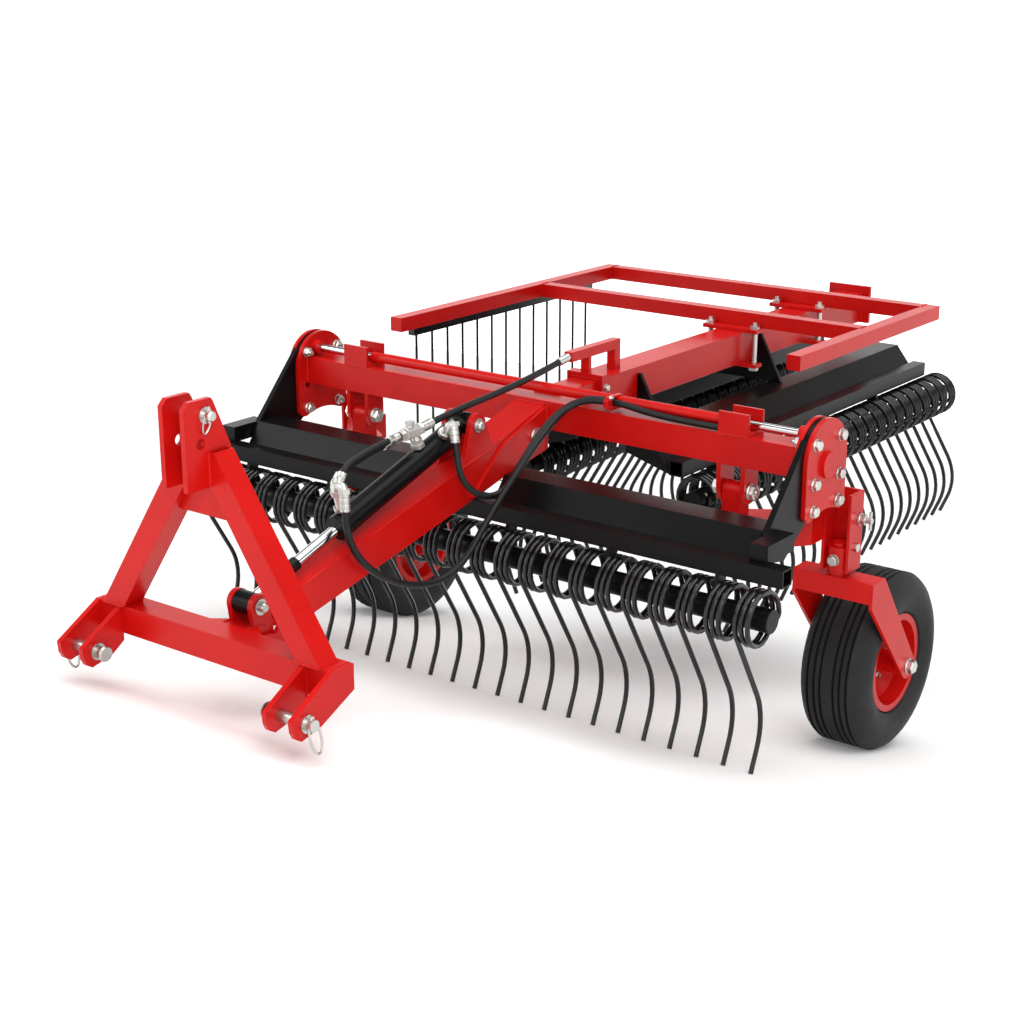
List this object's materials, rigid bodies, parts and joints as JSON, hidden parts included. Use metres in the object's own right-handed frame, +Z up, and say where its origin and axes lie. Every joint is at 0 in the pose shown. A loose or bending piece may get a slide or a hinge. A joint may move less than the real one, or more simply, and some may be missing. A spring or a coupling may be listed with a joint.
{
  "type": "mounted spring-tine hay rake",
  "caption": "Mounted hay rake with a row of coiled spring tines across its front, rows of tines along a middle beam, caster wheels and a tilting three-point hitch.",
  "frame": {"origin": "on the floor, below the middle of the bounding box", "axes": "+X to the right of the machine, +Y to its rear, +Z up"},
  "size_m": [1.978, 3.482, 1.3434],
  "materials": {
    "red_paint": "gloss",
    "black_paint": "semi-gloss",
    "spring_wire": "gloss",
    "zinc_steel": "satin",
    "chrome": "polished",
    "tyre": "matt",
    "hose": "satin"
  },
  "bodies": {
    "frame": {"beam_collar": "red_paint", "comb": "spring_wire", "cylinder_base_pin": "zinc_steel", "end_plates_inner": "red_paint", "end_plates_outer": "red_paint", "flag_brackets": "red_paint", "frame_clamps": "red_paint", "frame_crosses": "red_paint", "frame_members": "red_paint", "front_beam": "red_paint", "front_hood": "black_paint", "front_tine_bar": "black_paint", "front_tines": "spring_wire", "hood_arms": "black_paint", "hose_base": "hose", "hose_front": "hose", "hose_upper": "hose", "middle_beam": "red_paint", "middle_stub": "red_paint", "pipe_strap": "red_paint", "rear_hoods": "black_paint", "rear_tine_bars": "black_paint", "rear_tines_left": "spring_wire", "rear_tines_right": "spring_wire", "rear_yokes": "black_paint", "tail_plate": "red_paint", "tongue": "red_paint", "top_pipe": "red_paint", "top_pipe_rods": "chrome", "wheel_arms": "red_paint", "wheel_clevises": "red_paint", "wheel_posts": "red_paint"},
    "hitch": {"hitch_clevises": "red_paint", "hitch_cross_tube": "red_paint", "hitch_ears": "red_paint", "hitch_legs": "red_paint", "hitch_mast": "red_paint", "hitch_pins": "zinc_steel"},
    "cylinder_barrel": {"cylinder_barrel": "black_paint", "cylinder_fittings": "zinc_steel"},
    "cylinder_rod": {"cylinder_rod": "chrome"},
    "caster_left": {"fork_left": "red_paint", "axle_left": "zinc_steel"},
    "caster_right": {"fork_right": "red_paint", "axle_right": "zinc_steel"},
    "wheel_left": {"tyre_left": "tyre", "rim_left": "red_paint"},
    "wheel_right": {"tyre_right": "tyre", "rim_right": "red_paint"}
  },
  "joints": [
    {"name": "hitch_tilt", "type": "hinge", "parent": "frame", "child": "hitch", "pos_m": [0, -1.37343, 0.17563], "axis": [1, 0, 0], "range_deg": [-15, 15]},
    {"name": "cylinder_swing", "type": "hinge", "parent": "frame", "child": "cylinder_barrel", "pos_m": [0, -0.69714, 0.73467], "axis": [1, 0, 0], "range_deg": [-0.5, 0.5]},
    {"name": "cylinder_stroke", "type": "slide", "parent": "cylinder_barrel", "child": "cylinder_rod", "axis": [0, -0.8379, -0.5457], "range_m": [-0.03, 0.03]},
    {"name": "caster_left", "type": "hinge", "parent": "frame", "child": "caster_left", "pos_m": [-0.855, -0.10267, 0.53333], "axis": [0, -0.2563, 0.9666], "range_deg": [-45, 45]},
    {"name": "wheel_left", "type": "hinge", "parent": "caster_left", "child": "wheel_left", "pos_m": [-0.855, 0.19384, 0.254], "axis": [1, 0, 0], "continuous": true},
    {"name": "caster_right", "type": "hinge", "parent": "frame", "child": "caster_right", "pos_m": [0.855, -0.10267, 0.53333], "axis": [0, -0.2563, 0.9666], "range_deg": [-45, 45]},
    {"name": "wheel_right", "type": "hinge", "parent": "caster_right", "child": "wheel_right", "pos_m": [0.855, 0.19384, 0.254], "axis": [1, 0, 0], "continuous": true}
  ],
  "couplings": [
    {"joint": "cylinder_swing", "follows": "hitch_tilt", "ratio": -0.02105},
    {"joint": "cylinder_stroke", "follows": "hitch_tilt", "m_per_rad": 0.09936}
  ]
}
